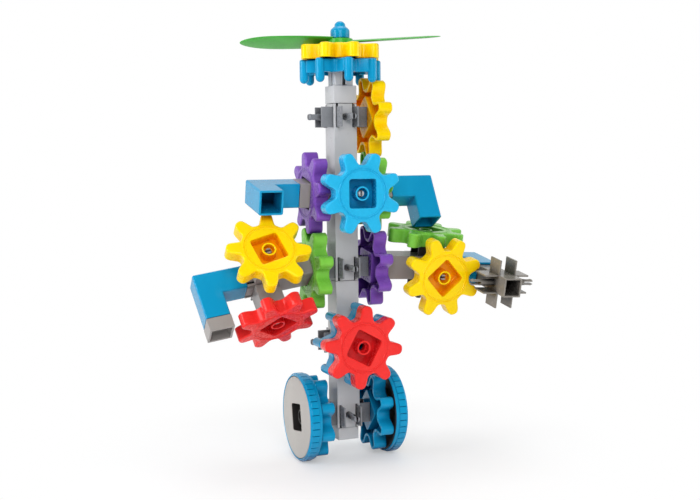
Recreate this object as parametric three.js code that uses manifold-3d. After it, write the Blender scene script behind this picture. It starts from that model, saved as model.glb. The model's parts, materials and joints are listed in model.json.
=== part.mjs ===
// Construction toy of snap-together gears: a column of square hub blocks and tubes on two wheels,
// with meshing side gears that swing four arms, and a crown gear on top that turns a propeller.
// Millimetres, +Z up, the front faces -Y. The origin is the middle of the column's flat foot.
import * as THREE from 'three';
import Module from 'manifold-3d';
import { mergeVertices } from 'three/addons/utils/BufferGeometryUtils.js';

const wasm = await Module();
wasm.setup();

// Square tube system that every piece plugs into.
const tubeSide = 17;
const tubeWall = 1.5;
const fit = 0.3;
const overrun = 1;
const spigotLength = 6;
const spigotWall = 1.2;
const shoulder = 2;
const levelPitch = 52.5;
const tubeEndDrop = 9.25;
const elbowLeg = 34;

// Six-way hub: a square core tube with two fins and a split pin on each of its four sides.
const hubHalf = 16.5;
const finThickness = 1.2;
const finLength = 14;
const finReach = 17.1;
const pinDiameter = 4.4;
const pinReach = 25.6;
const pinSlit = 0.9;
const pinSlitDepth = 7;

// Gears: eight rounded teeth, hollow back, square pocket with a round hub in front.
const gearTeeth = 8;
const gearTipRadius = 28.6;
const gearRootRadius = 19.3;
const gearThickness = 10;
const gearWall = 1.8;
const gearToothBiasShare = 0.14;
const gearToothBluntShare = 1.5;
const pocketSide = 18;
const pocketDepth = 8.5;
const pocketWall = 1.6;
const pocketCorner = 0.8;
const hubDiameter = 9.6;
const hubSetback = 0.8;
const boreDiameter = 5;

// Crown gear: a scalloped ring with eight round-ended fingers.
const crownFingers = 8;
const crownReach = 28.9;
const crownHeight = 16.5;
const fingerDiameter = 6.2;
const crownRingRadius = 24.6;
const crownRingWall = 2.4;
const crownRingHeight = 8.2;
const crownPlate = 2;
const crownHubDiameter = 11;
const crownKeyWall = 1.3;
const crownKeyHeight = 4;

// Front gears stand on square posts, clear of the side gears' teeth.
const postGearBack = 28.9;
const postPlate = 2;

// Column ends.
const footSide = 15.4;
const footPlate = 1.2;
const collarHeight = 12.2;
const topSpigotHeight = 11.2;
const topSpigotSlot = 2.2;
const topStackRise = 39.5;

// Propeller and its nose cone.
const propellerSpan = 140;
const propellerChord = 22;
const propellerRootChord = 11;
const propellerThickness = 2.2;
const propellerHubDiameter = 18;
const propellerHubHeight = 4.2;
const propellerPlugDepth = 7;
const propellerPitchDegrees = 13;
const spinnerDiameter = 13.4;
const spinnerHeight = 11.4;
const spinnerNeck = 1.4;
const spinnerCapDiameter = 8.4;
const spinnerStemDiameter = 5.4;
const spinnerStemLength = 3;

// Wheels: a grey hub disc that plugs into a gear pocket, and a tyre with tread blocks.
const wheelRadius = 31;
const wheelWidth = 8.7;
const wheelDiscRadius = 28;
const wheelDiscThickness = 3;
const wheelRimWall = 1.8;
const wheelPocketSide = 19;
const wheelPocketWall = 1.6;
const wheelRingDiameter = 11;
const wheelRingWall = 1.5;
const treadBlocks = 40;
const treadDepth = 0.8;
const treadFillShare = 0.62;
// Arms plug into the side gears' pockets.
const plugDepth = 4.5;
const sleeveVisible = 6.8;
const leftHubReach = 61;
const rightHubReach = 62;
const hubToElbow = 13.3;
const leftEndTube = 9.5;
const handHubReach = 49;

// Angles of the photographed pose, in degrees.
const trainTurnDegrees = 9;
const leftTrainTurnDegrees = 8;
const upperLeftLegDegrees = 12;
const upperRightLegDegrees = 60.5;
const lowerLeftLegDegrees = 53;
const lowerRightLegDegrees = 9;
const leftArmDroopDegrees = 8.5;
const rightArmDroopDegrees = 3;
const leftArmHighGearTurnDegrees = -14;
const frontGearTurnDegrees = 22.5;
const lowerFrontGearTurnDegrees = -3;
const propellerTurnDegrees = -22.5;

// Colours of the glossy plastic.
const grey = 0x8f8f90;
const darkGrey = 0x77726f;
const skyBlue = 0x2fb4e6;
const deepBlue = 0x0f93c9;
const yellow = 0xf9c80e;
const red = 0xe3242b;
const green = 0x7ac143;
const leafGreen = 0x3fae49;
const purple = 0x7b4bb0;
const wheelGrey = 0x7d7f80;

// Sizes that follow from the ones above.
const tubeHalf = tubeSide / 2;
const tubeBore = tubeSide - 2 * tubeWall;
const spigotSide = tubeBore - 2 * fit;
const spigotBore = spigotSide - 2 * spigotWall;
const gearBack = finReach + fit;
const gearFront = gearBack + gearThickness;
const fingerCircle = crownReach - fingerDiameter / 2;
const gearToothPitch = (2 * Math.PI) / gearTeeth;
const halfToothDegrees = 180 / gearTeeth;
const levelE = footPlate + fit + hubHalf;
const levelD = levelE + levelPitch;
const levelC = levelD + levelPitch;
const levelB = levelC + levelPitch;
const levelA = levelB + levelPitch;
const crownHubRise = topStackRise - tubeEndDrop - collarHeight - topSpigotHeight - fit;

const model = new THREE.Group();
const radians = THREE.MathUtils.degToRad;

// Closed mesh to solid, solid to mesh.
function solid(geometry) {
  const bare = geometry.clone();
  bare.deleteAttribute('normal');
  bare.deleteAttribute('uv');
  const welded = mergeVertices(bare);
  return new wasm.Manifold(new wasm.Mesh({
    numProp: 3,
    vertProperties: new Float32Array(welded.attributes.position.array),
    triVerts: new Uint32Array(welded.index.array),
  }));
}

function meshGeometry(body) {
  const mesh = body.getMesh();
  const geometry = new THREE.BufferGeometry();
  geometry.setAttribute('position', new THREE.BufferAttribute(mesh.vertProperties, 3));
  geometry.setIndex(new THREE.BufferAttribute(mesh.triVerts, 1));
  geometry.computeVertexNormals();
  return geometry;
}

function piece(name, body, colour, parent, roughness = 0.35) {
  const material = new THREE.MeshStandardMaterial({ color: colour, roughness, metalness: 0 });
  const mesh = new THREE.Mesh(meshGeometry(body), material);
  mesh.name = name;
  parent.add(mesh);
  return mesh;
}

// A box from low to high along Z, centred on x, y.
function block(sideX, sideY, low, high, x = 0, y = 0) {
  const geometry = new THREE.BoxGeometry(sideX, sideY, high - low);
  geometry.translate(x, y, (low + high) / 2);
  return solid(geometry);
}

function disc(radius, low, high, segments, x = 0, y = 0) {
  const geometry = new THREE.CylinderGeometry(radius, radius, high - low, segments);
  geometry.rotateX(Math.PI / 2);
  geometry.translate(x, y, (low + high) / 2);
  return solid(geometry);
}

function prism(shape, low, high) {
  const geometry = new THREE.ExtrudeGeometry(shape, {
    depth: high - low, bevelEnabled: false, curveSegments: 3,
  });
  geometry.translate(0, 0, low);
  return solid(geometry);
}

function turned(profile, segments) {
  return solid(new THREE.LatheGeometry(profile, segments).rotateX(Math.PI / 2));
}

function roundedSquare(side, corner) {
  const half = side / 2;
  const shape = new THREE.Shape();
  shape.moveTo(corner - half, -half);
  shape.lineTo(half - corner, -half);
  shape.absarc(half - corner, corner - half, corner, -Math.PI / 2, 0, false);
  shape.lineTo(half, half - corner);
  shape.absarc(half - corner, half - corner, corner, 0, Math.PI / 2, false);
  shape.lineTo(corner - half, half);
  shape.absarc(corner - half, half - corner, corner, Math.PI / 2, Math.PI, false);
  shape.lineTo(-half, corner - half);
  shape.absarc(corner - half, corner - half, corner, Math.PI, Math.PI * 1.5, false);
  return shape;
}

// A frame at a point whose local +Z looks outward, with local +X towards the given up.
function facing(parent, origin, outward, up, turnDegrees = 0) {
  const frame = new THREE.Group();
  const side = new THREE.Vector3().crossVectors(outward, up).normalize();
  const basis = new THREE.Matrix4().makeBasis(up.clone().normalize(), side, outward);
  frame.quaternion.setFromRotationMatrix(basis);
  frame.position.copy(origin);
  frame.rotateZ(radians(turnDegrees));
  parent.add(frame);
  return frame;
}

const left = new THREE.Vector3(-1, 0, 0);
const right = new THREE.Vector3(1, 0, 0);
const front = new THREE.Vector3(0, -1, 0);
const upward = new THREE.Vector3(0, 0, 1);
const atLevel = (height) => new THREE.Vector3(0, 0, height);

// Six-way hub, core along Z. Each side has two fins flush with the core's walls, which carry
// a gear's back or enter a tube, and a slit pin that a gear turns on.
const finOffset = spigotSide / 2 - finThickness / 2;
const sideAngles = [0, 1, 2, 3].map((quarter) => (quarter * Math.PI) / 2);

function hubBody(low, high, middle) {
  let body = block(spigotSide, spigotSide, low, high);
  const start = spigotSide / 2 - spigotWall / 2;
  const pinLength = pinReach - start;
  for (const angle of sideAngles) {
    for (const sign of [-1, 1]) {
      const fin = new THREE.BoxGeometry(finReach - start, finThickness, finLength);
      fin.translate((finReach + start) / 2, sign * finOffset, middle).rotateZ(angle);
      body = body.add(solid(fin));
    }
    const pin = new THREE.CylinderGeometry(pinDiameter / 2, pinDiameter / 2, pinLength, 8);
    pin.rotateZ(-Math.PI / 2).translate((pinReach + start) / 2, 0, middle).rotateZ(angle);
    const slit = new THREE.BoxGeometry(pinSlitDepth + overrun, pinDiameter + overrun, pinSlit);
    slit.translate(pinReach + (overrun - pinSlitDepth) / 2, 0, middle).rotateZ(angle);
    body = body.add(solid(pin).subtract(solid(slit)));
  }
  return body.subtract(block(spigotBore, spigotBore, low - overrun, high + overrun));
}
const hubSolid = hubBody(-hubHalf, hubHalf, 0);

function hub(name, parent, height, colour = grey) {
  const mesh = piece(name, hubSolid, colour, parent);
  mesh.position.z = height;
  return mesh;
}

// Square tube between two heights, with slots for the fins and holes for the pins of the hubs
// that it goes over. Slots run on to the tube end that is nearest to the hub.
function slottedTube(low, high, hubs) {
  let body = block(tubeSide, tubeSide, low, high);
  body = body.subtract(block(tubeBore, tubeBore, low - overrun, high + overrun));
  const slotWidth = finThickness + 2 * fit;
  for (const height of hubs) {
    const nearTop = high - height < height - low;
    const slotLow = nearTop ? height - finLength / 2 - fit : low - overrun;
    const slotHigh = nearTop ? high + overrun : height + finLength / 2 + fit;
    for (const sign of [-1, 1]) {
      const place = sign * finOffset;
      body = body.subtract(block(tubeSide + overrun, slotWidth, slotLow, slotHigh, 0, place));
      body = body.subtract(block(slotWidth, tubeSide + overrun, slotLow, slotHigh, place, 0));
    }
    const holeRadius = pinDiameter / 2 + fit;
    for (const angle of [0, Math.PI / 2]) {
      const hole = new THREE.CylinderGeometry(holeRadius, holeRadius, tubeSide + overrun, 8);
      hole.rotateZ(Math.PI / 2).rotateZ(angle).translate(0, 0, height);
      body = body.subtract(solid(hole));
    }
  }
  return body;
}

// Short square tube whose spigot enters the piece beyond its upper end.
function spigotTube(low, high) {
  const top = high + spigotLength;
  let body = block(tubeSide, tubeSide, low, high);
  body = body.add(block(spigotSide, spigotSide, high - fit, top));
  body = body.subtract(block(tubeBore, tubeBore, low - overrun, high - shoulder));
  return body.subtract(block(spigotBore, spigotBore, low - overrun, top + overrun));
}

const hubLevels = { e: levelE, d: levelD, c: levelC, b: levelB, a: levelA };
for (const [letter, height] of Object.entries(hubLevels)) {
  hub(`column_hub_${letter}`, model, height);
}

// Four column tubes, each over the hub at its lower end; the highest also covers the top hub.
const tubeStarts = { lowest: levelE, lower: levelD, upper: levelC, highest: levelB };
for (const [place, height] of Object.entries(tubeStarts)) {
  const isHighest = height === levelB;
  const low = height - tubeEndDrop + fit / 2;
  const high = isHighest ? levelA + tubeEndDrop : height + levelPitch - tubeEndDrop;
  const hubs = isHighest ? [levelB, levelA] : [height];
  piece(`column_tube_${place}`, slottedTube(low, high - fit / 2, hubs), grey, model);
}

// Foot cap: closed below, pushed on the lowest hub's core. Its flat foot is the datum.
{
  const rim = levelE - tubeEndDrop - fit / 2;
  const coreRoom = spigotSide + 2 * fit;
  const cap = block(footSide, footSide, 0, rim);
  piece('foot_cap', cap.subtract(block(coreRoom, coreRoom, footPlate, rim + overrun)), grey, model);
}

// Top axle: a collar over the top hub, a slotted square spigot, and the long pin of the top stack.
{
  const low = levelA + tubeEndDrop + fit / 2;
  const collarTop = low + collarHeight;
  const spigotTop = collarTop + topSpigotHeight;
  const pinTop = levelA + topStackRise + fit + gearThickness - hubSetback - fit;
  let spigot = block(spigotSide, spigotSide, collarTop - fit, spigotTop);
  spigot = spigot.subtract(block(spigotBore, spigotBore, collarTop, spigotTop + overrun));
  spigot = spigot.subtract(block(tubeSide, topSpigotSlot, collarTop, spigotTop + overrun));
  spigot = spigot.subtract(block(topSpigotSlot, tubeSide, collarTop, spigotTop + overrun));
  let axle = block(tubeSide, tubeSide, low, collarTop);
  axle = axle.subtract(block(tubeBore, tubeBore, low - overrun, levelA + hubHalf + fit));
  axle = axle.add(spigot).add(disc(pinDiameter / 2, collarTop - fit, pinTop, 12));
  piece('top_axle', axle, grey, model);
}

// Gear outline: teeth swell and blend by a rounded wave round the mid radius.
function gearRadius(angle) {
  const rise = (wave) => Math.tanh(gearToothBluntShare * (wave - gearToothBiasShare));
  const swell = (rise(Math.cos(gearTeeth * angle)) - rise(-1)) / (rise(1) - rise(-1));
  return gearRootRadius + (gearTipRadius - gearRootRadius) * swell;
}

function gearOutline(pointsPerTooth, inset) {
  const count = gearTeeth * pointsPerTooth;
  const points = [];
  for (let index = 0; index < count; index += 1) {
    const angle = (index / count) * 2 * Math.PI;
    const step = gearToothPitch / pointsPerTooth / 4;
    let x = gearRadius(angle) * Math.cos(angle);
    let y = gearRadius(angle) * Math.sin(angle);
    if (inset > 0) {
      const ahead = angle + step;
      const behind = angle - step;
      const tangentX = gearRadius(ahead) * Math.cos(ahead) - gearRadius(behind) * Math.cos(behind);
      const tangentY = gearRadius(ahead) * Math.sin(ahead) - gearRadius(behind) * Math.sin(behind);
      const length = Math.hypot(tangentX, tangentY);
      x -= (inset * tangentY) / length;
      y += (inset * tangentX) / length;
    }
    points.push(new THREE.Vector2(x, y));
  }
  return new THREE.Shape(points);
}

// Teeth lie between the pocket's corners and the middles of its sides.
function gearBody() {
  const half = gearToothPitch / 2;
  let body = prism(gearOutline(6, 0), 0, gearThickness);
  body = body.subtract(prism(gearOutline(4, gearWall), -overrun, gearThickness - gearWall));
  const socketSide = pocketSide + 2 * pocketWall;
  const turn = new THREE.Matrix4().makeRotationZ(half);
  const turnSolid = (shape, low, high) => {
    const geometry = new THREE.ExtrudeGeometry(shape, {
      depth: high - low, bevelEnabled: false, curveSegments: 1,
    });
    geometry.translate(0, 0, low).applyMatrix4(turn);
    return solid(geometry);
  };
  body = body.add(turnSolid(roundedSquare(socketSide, pocketCorner), 0, gearThickness));
  const floor = gearThickness - pocketDepth;
  body = body.subtract(turnSolid(roundedSquare(pocketSide, pocketCorner), floor, gearThickness + overrun));
  body = body.add(disc(hubDiameter / 2, floor - fit, gearThickness - hubSetback, 10));
  return body.subtract(disc(boreDiameter / 2, -overrun, gearThickness + overrun, 10));
}
const gearSolid = gearBody();

// A gear on a frame whose +Z is its axis. With no turn a tooth gap points to local +X,
// so toothForward adds half a pitch.
function gear(name, parent, colour, back, turnDegrees) {
  const mesh = piece(name, gearSolid, colour, parent);
  mesh.position.z = back;
  mesh.rotation.z = radians(turnDegrees);
  return mesh;
}

// Crown gear: plate on top, fingers hang towards -Z from the ring. Its square key enters the
// hollow back of the gear above it, round that gear's socket.
function crownBody(keyDegrees) {
  const ringLow = crownHeight - crownRingHeight;
  let body = disc(crownRingRadius, ringLow, crownHeight, 24);
  body = body.subtract(disc(crownRingRadius - crownRingWall, ringLow - overrun, crownHeight - crownPlate, 16));
  const fingerRadius = fingerDiameter / 2;
  const profile = [
    new THREE.Vector2(0, 0),
    new THREE.Vector2(fingerRadius * Math.sin(Math.PI / 4), fingerRadius * (1 - Math.cos(Math.PI / 4))),
    new THREE.Vector2(fingerRadius, fingerRadius),
    new THREE.Vector2(fingerRadius, crownHeight - fingerRadius / 2),
    new THREE.Vector2(fingerRadius / 2, crownHeight),
    new THREE.Vector2(0, crownHeight),
  ];
  for (let index = 0; index < crownFingers; index += 1) {
    const angle = (index / crownFingers) * 2 * Math.PI;
    const geometry = new THREE.LatheGeometry(profile, 6).rotateX(Math.PI / 2);
    geometry.translate(fingerCircle * Math.cos(angle), fingerCircle * Math.sin(angle), 0);
    body = body.add(solid(geometry));
  }
  body = body.add(disc(crownHubDiameter / 2, crownHeight - crownHubRise, crownHeight - crownPlate + fit, 12));
  const keyInner = pocketSide + 2 * pocketWall + 2 * fit;
  const keyOuter = keyInner + 2 * crownKeyWall;
  const keyTop = crownHeight + crownKeyHeight;
  const keyOutline = (side, low, high) => {
    const geometry = new THREE.BoxGeometry(side, side, high - low);
    geometry.translate(0, 0, (low + high) / 2).rotateZ(radians(keyDegrees));
    return solid(geometry);
  };
  const key = keyOutline(keyOuter, crownHeight - fit, keyTop);
  body = body.add(key.subtract(keyOutline(keyInner, crownHeight, keyTop + overrun)));
  return body.subtract(disc(boreDiameter / 2, -overrun, crownHeight + overrun, 12));
}

// Top stack, turning about the column: crown with its fingers down, gear, propeller and nose.
const topStack = facing(model, atLevel(levelA), upward, right);
const crownTop = topStackRise;
const topGearBack = crownTop + fit;
const topGearFront = topGearBack + gearThickness;
{
  const crown = piece('top_crown_gear', crownBody(trainTurnDegrees - halfToothDegrees), deepBlue, topStack);
  crown.position.z = crownTop - crownHeight;
  crown.rotation.z = radians(-trainTurnDegrees);
  gear('top_gear', topStack, yellow, topGearBack, 2 * halfToothDegrees);
}

// Propeller blades: lens sections lofted outwards, broad near two thirds, pitched like a fan.
function bladeBody(sign) {
  const stations = 8;
  const around = 6;
  const span = propellerSpan / 2;
  const root = propellerHubDiameter / 4;
  const positions = [];
  const index = [];
  for (let station = 0; station <= stations; station += 1) {
    const along = station / stations;
    const reach = root + (span - root) * along;
    const swell = Math.sin(Math.PI * Math.min(1, 0.18 + 0.62 * along));
    const tipShare = Math.sqrt(Math.max(0, 1 - Math.max(0, (along - 0.62) / 0.38) ** 2.4));
    const wide = propellerRootChord + (propellerChord - propellerRootChord) * swell;
    const chord = Math.max(propellerThickness, wide * tipShare);
    const thick = propellerThickness * (1 - 0.45 * along);
    const pitch = radians(propellerPitchDegrees);
    for (let step = 0; step < around; step += 1) {
      const angle = (step / around) * 2 * Math.PI;
      const across = (chord / 2) * Math.cos(angle);
      const lift = (thick / 2) * Math.sin(angle);
      const y = across * Math.cos(pitch) - lift * Math.sin(pitch);
      const z = across * Math.sin(pitch) + lift * Math.cos(pitch);
      positions.push(sign * reach, sign * y, z);
    }
  }
  for (let station = 0; station < stations; station += 1) {
    for (let step = 0; step < around; step += 1) {
      const here = station * around + step;
      const next = station * around + ((step + 1) % around);
      index.push(here, next, here + around, next, next + around, here + around);
    }
  }
  const last = stations * around;
  for (let step = 1; step < around - 1; step += 1) {
    index.push(0, step + 1, step, last, last + step, last + step + 1);
  }
  const geometry = new THREE.BufferGeometry();
  geometry.setAttribute('position', new THREE.Float32BufferAttribute(positions, 3));
  geometry.setIndex(index);
  return solid(geometry);
}

{
  const seat = topGearFront + fit;
  const hubTop = seat + propellerHubHeight;
  const frame = new THREE.Group();
  frame.rotation.z = radians(propellerTurnDegrees);
  topStack.add(frame);
  let body = disc(propellerHubDiameter / 2, seat, hubTop, 20);
  body = body.add(block(tubeSide, tubeSide, seat - propellerPlugDepth, seat + fit));
  const hollow = block(tubeBore, tubeBore, seat - propellerPlugDepth - overrun, seat - hubSetback + fit);
  body = body.subtract(hollow);
  for (const sign of [-1, 1]) {
    const blade = bladeBody(sign);
    const lift = new THREE.Matrix4().makeTranslation(0, 0, (seat + hubTop) / 2);
    body = body.add(blade.transform(lift.elements));
  }
  body = body.subtract(disc(spinnerStemDiameter / 2 + fit, seat - overrun, hubTop + overrun, 12));
  piece('propeller', body, leafGreen, frame);

  const stemLow = hubTop + fit - spinnerStemLength;
  const base = hubTop + fit;
  const top = base + spinnerHeight;
  const shoulderTop = base + spinnerHeight / 2;
  const point = (radius, height) => new THREE.Vector2(radius, height);
  const capRadius = spinnerCapDiameter / 2;
  const noseRadius = spinnerDiameter / 2;
  const profile = [
    point(0, stemLow), point(spinnerStemDiameter / 2, stemLow),
    point(spinnerStemDiameter / 2, base), point(noseRadius, base),
    point(noseRadius, base + spinnerHeight / 4), point(noseRadius - spinnerNeck / 3, shoulderTop),
    point(capRadius + spinnerNeck / 3, shoulderTop + spinnerNeck), point(capRadius, shoulderTop + 2 * spinnerNeck),
    point(capRadius * 0.8, top - spinnerNeck / 2), point(capRadius * 0.4, top), point(0, top),
  ];
  piece('propeller_nose', turned(profile, 12), deepBlue, topStack);
}

// Side gears of the right train. A turn counts from up towards the front on the right side.
const rightOf = (height, turn = 0) => facing(model, atLevel(height), right, upward, turn);
const leftOf = (height, turn = 0) => facing(model, atLevel(height), left, upward, turn);
const frontOf = (height, turn = 0) => facing(model, atLevel(height), front, upward, turn);
const gapTurn = halfToothDegrees + trainTurnDegrees;
gear('gear_a_right', rightOf(levelA), yellow, gearBack, gapTurn);
gear('gear_b_right', rightOf(levelB), green, gearBack, 2 * halfToothDegrees - trainTurnDegrees);
gear('gear_c_right', rightOf(levelC), purple, gearBack, gapTurn + 2 * halfToothDegrees);

// Side gears of the left train.
gear('gear_b_left', leftOf(levelB), purple, gearBack, 2 * halfToothDegrees + leftTrainTurnDegrees);
gear('gear_c_left', leftOf(levelC), green, gearBack, halfToothDegrees - leftTrainTurnDegrees);

// Elbow: an L of square tube open at both ends, from a start height along +Z, then along +X.
function elbow(name, parent, start) {
  const end = start + elbowLeg;
  const bend = end - tubeHalf;
  const legTip = elbowLeg - tubeHalf;
  const legBox = (side, from, to) => {
    const geometry = new THREE.BoxGeometry(to - from, side, side);
    geometry.translate((from + to) / 2, 0, bend);
    return solid(geometry);
  };
  let body = block(tubeSide, tubeSide, start, end).add(legBox(tubeSide, 0, legTip));
  body = body.subtract(block(tubeBore, tubeBore, start - overrun, end - tubeWall));
  body = body.subtract(legBox(tubeBore, 0, legTip + overrun));
  piece(name, body, deepBlue, parent);
  return { bend, legTip };
}

// A frame at an elbow's open end whose +Z runs on along the leg.
function legFrame(parent, bend) {
  const frame = new THREE.Group();
  frame.position.set(0, 0, bend);
  frame.rotation.y = Math.PI / 2;
  parent.add(frame);
  return frame;
}

// Upper arms: a square sleeve in the gear's pocket and an elbow.
const forwardDegrees = 90;
function upperArm(side, frame) {
  const sleeveTop = gearFront + sleeveVisible;
  piece(`upper_${side}_arm_sleeve`, spigotTube(gearFront - plugDepth, sleeveTop), darkGrey, frame);
  elbow(`upper_${side}_arm_elbow`, frame, sleeveTop + fit);
}
upperArm('left', leftOf(levelB, -forwardDegrees - upperLeftLegDegrees));
upperArm('right', rightOf(levelB, forwardDegrees + upperRightLegDegrees));

// Lower arms: a long square tube over a six-way hub, an elbow, and free gears on the hub.
function lowerArm(side, frame, hubReach) {
  const tubeTop = hubReach + hubToElbow;
  const tube = slottedTube(gearFront - plugDepth, tubeTop, [hubReach]);
  piece(`lower_${side}_arm_tube`, tube, darkGrey, frame);
  hub(`lower_${side}_arm_hub`, frame, hubReach, darkGrey);
  return elbow(`lower_${side}_arm_elbow`, frame, tubeTop + fit);
}

// Square post over a hub's fins, with the pin that its gear turns on. Local +Z points outward.
function postBody() {
  const low = tubeHalf + fit;
  const high = postGearBack - fit;
  let body = block(tubeSide, tubeSide, low, high);
  body = body.subtract(block(tubeBore, tubeBore, low - overrun, high - postPlate));
  const pinTop = postGearBack + pinReach - gearBack;
  let pin = disc(pinDiameter / 2, high - fit, pinTop, 10);
  pin = pin.subtract(block(pinDiameter + overrun, pinSlit, pinTop - pinSlitDepth, pinTop + overrun));
  return body.add(pin);
}
const postSolid = postBody();

// Outward frame on a hub's side within an arm, at the hub's height.
function sideFrame(parent, height, angle) {
  const outward = new THREE.Vector3(Math.cos(angle), Math.sin(angle), 0);
  return facing(parent, atLevel(height), outward, upward);
}

// The long lower arms hang a little in their loose pockets, about the pocket's middle.
function droopingArm(outward, turnDegrees, droopDegrees) {
  const pocketMiddle = gearFront - plugDepth / 2;
  const droop = new THREE.Group();
  droop.position.copy(outward).multiplyScalar(pocketMiddle).setZ(levelC);
  droop.rotation.y = radians(outward.x * droopDegrees);
  model.add(droop);
  const origin = outward.clone().multiplyScalar(-pocketMiddle);
  return facing(droop, origin, outward, upward, turnDegrees);
}

// Lower left arm, with two gears on posts and a short open tube at its end.
{
  const arm = droopingArm(left, -forwardDegrees - lowerLeftLegDegrees, leftArmDroopDegrees);
  const { bend, legTip } = lowerArm('left', arm, leftHubReach);
  const tip = legFrame(arm, bend);
  const endTube = spigotTube(-legTip - fit - leftEndTube, -legTip - fit);
  const mesh = piece('lower_left_arm_end_tube', endTube, darkGrey, tip);
  mesh.rotation.x = Math.PI;
  const lowerSide = sideFrame(arm, leftHubReach, 0);
  const upperSide = sideFrame(arm, leftHubReach, Math.PI / 2);
  piece('lower_left_arm_post_low', postSolid, darkGrey, lowerSide);
  piece('lower_left_arm_post_high', postSolid, darkGrey, upperSide);
  gear('left_arm_gear_low', lowerSide, red, postGearBack, halfToothDegrees);
  gear('left_arm_gear_high', upperSide, yellow, postGearBack, leftArmHighGearTurnDegrees);
}

// Lower right arm, whose elbow ends in a bare six-way hub like a hand.
{
  const arm = droopingArm(right, forwardDegrees + lowerRightLegDegrees, rightArmDroopDegrees);
  const { bend, legTip } = lowerArm('right', arm, rightHubReach);
  const hand = hubBody(legTip - spigotLength, handHubReach + hubHalf, handHubReach);
  piece('hand_hub', hand, darkGrey, legFrame(arm, bend));
  const frontSide = sideFrame(arm, rightHubReach, 0);
  const upperSide = sideFrame(arm, rightHubReach, -Math.PI / 2);
  piece('lower_right_arm_post', postSolid, darkGrey, frontSide);
  gear('right_arm_gear_front', frontSide, yellow, postGearBack, halfToothDegrees);
  gear('right_arm_gear_top', upperSide, green, gearBack, 0);
}

// Front gears: one on a post, one joined to a crown gear that turns on the hub's own stub.
piece('front_post', postSolid, grey, frontOf(levelB));
gear('front_gear_upper', frontOf(levelB), skyBlue, postGearBack, frontGearTurnDegrees);
{
  const frame = frontOf(levelD);
  gear('front_gear_lower', frame, red, postGearBack, lowerFrontGearTurnDegrees);
  const crown = piece('front_crown_gear', crownBody(0), deepBlue, frame);
  crown.position.z = postGearBack - fit - crownHeight;
  crown.rotation.z = radians(lowerFrontGearTurnDegrees + halfToothDegrees);
}

// Wheels: hub disc with a square plug behind it, and a treaded tyre round it.
function wheelDisc() {
  let body = disc(wheelDiscRadius, 0, wheelWidth, 32);
  const inner = wheelDiscRadius - wheelRimWall;
  body = body.subtract(disc(inner, -overrun, wheelWidth - wheelDiscThickness, 24));
  const boss = wheelPocketSide + 2 * wheelPocketWall;
  body = body.add(block(boss, boss, 0, wheelWidth - fit));
  body = body.subtract(block(wheelPocketSide, wheelPocketSide, wheelPocketWall, wheelWidth + overrun));
  let ring = disc(wheelRingDiameter / 2, wheelPocketWall - fit, wheelWidth - wheelDiscThickness, 16);
  ring = ring.subtract(disc(wheelRingDiameter / 2 - wheelRingWall, 0, wheelWidth, 12));
  body = body.add(ring);
  let plug = block(tubeSide, tubeSide, -plugDepth, fit);
  plug = plug.subtract(block(tubeBore, tubeBore, -plugDepth - overrun, 0));
  return body.add(plug);
}

function tyreBody() {
  const low = 0;
  const groove = wheelRadius - treadDepth;
  const points = [];
  for (let index = 0; index < treadBlocks; index += 1) {
    const step = (2 * Math.PI) / treadBlocks;
    const start = index * step;
    const stop = start + step * treadFillShare;
    for (const [angle, radius] of [[start, groove], [start, wheelRadius], [stop, wheelRadius]]) {
      points.push(new THREE.Vector2(radius * Math.cos(angle), radius * Math.sin(angle)));
    }
  }
  const body = prism(new THREE.Shape(points), low, wheelWidth);
  return body.subtract(disc(wheelDiscRadius + fit, low - overrun, wheelWidth + overrun, 32));
}
const wheelSolid = wheelDisc();
const tyreSolid = tyreBody();
for (const [side, frame] of [['left', leftOf(levelE)], ['right', rightOf(levelE)]]) {
  gear(`gear_e_${side}`, frame, deepBlue, gearBack, halfToothDegrees);
  const wheel = piece(`wheel_disc_${side}`, wheelSolid, wheelGrey, frame);
  wheel.position.z = gearFront + fit;
  wheel.rotation.z = radians(2 * halfToothDegrees);
  const tyre = piece(`tyre_${side}`, tyreSolid, deepBlue, frame);
  tyre.position.z = gearFront + fit;
}

export default model;
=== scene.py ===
# Gear construction toy: a column of grey square tubes on two wheels, four arms that swing on
# meshing gears, and a crown gear on top that turns a green propeller. Metres, +Z up, front -Y.
import json
import math

import bmesh
import bpy
from mathutils import Matrix, Vector


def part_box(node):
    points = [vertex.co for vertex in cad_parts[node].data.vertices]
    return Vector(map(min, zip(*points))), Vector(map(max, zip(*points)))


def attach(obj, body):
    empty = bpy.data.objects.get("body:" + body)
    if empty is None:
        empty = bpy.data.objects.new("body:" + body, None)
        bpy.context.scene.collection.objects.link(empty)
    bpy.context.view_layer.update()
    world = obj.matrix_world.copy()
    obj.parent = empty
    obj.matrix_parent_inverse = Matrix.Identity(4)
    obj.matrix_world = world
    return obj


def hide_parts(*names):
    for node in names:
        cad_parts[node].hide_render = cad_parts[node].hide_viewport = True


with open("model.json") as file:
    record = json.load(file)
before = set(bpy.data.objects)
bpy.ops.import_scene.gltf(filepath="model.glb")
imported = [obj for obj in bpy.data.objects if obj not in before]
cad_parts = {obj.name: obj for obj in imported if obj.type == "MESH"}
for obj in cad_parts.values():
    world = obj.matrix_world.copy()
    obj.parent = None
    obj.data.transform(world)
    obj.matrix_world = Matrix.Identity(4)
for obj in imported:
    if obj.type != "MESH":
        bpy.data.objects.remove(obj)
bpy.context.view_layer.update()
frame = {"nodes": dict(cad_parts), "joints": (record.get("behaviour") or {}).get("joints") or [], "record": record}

# Grey six-way hubs of the column, five square cores with four sides each. They are injection
# moulded in glossy grey plastic, and every side has two thin fins and a slit pin that snaps
# into a gear or tube. The tubes push over the cores, so only the sides and pins show.
tube_side = 0.017
tube_wall = 0.0015
fit = 0.0003
spigot_side = tube_side - 2 * tube_wall - 2 * fit
spigot_wall = 0.0012
spigot_bore = spigot_side - 2 * spigot_wall
wall_middle = spigot_side / 2 - spigot_wall / 2
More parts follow.
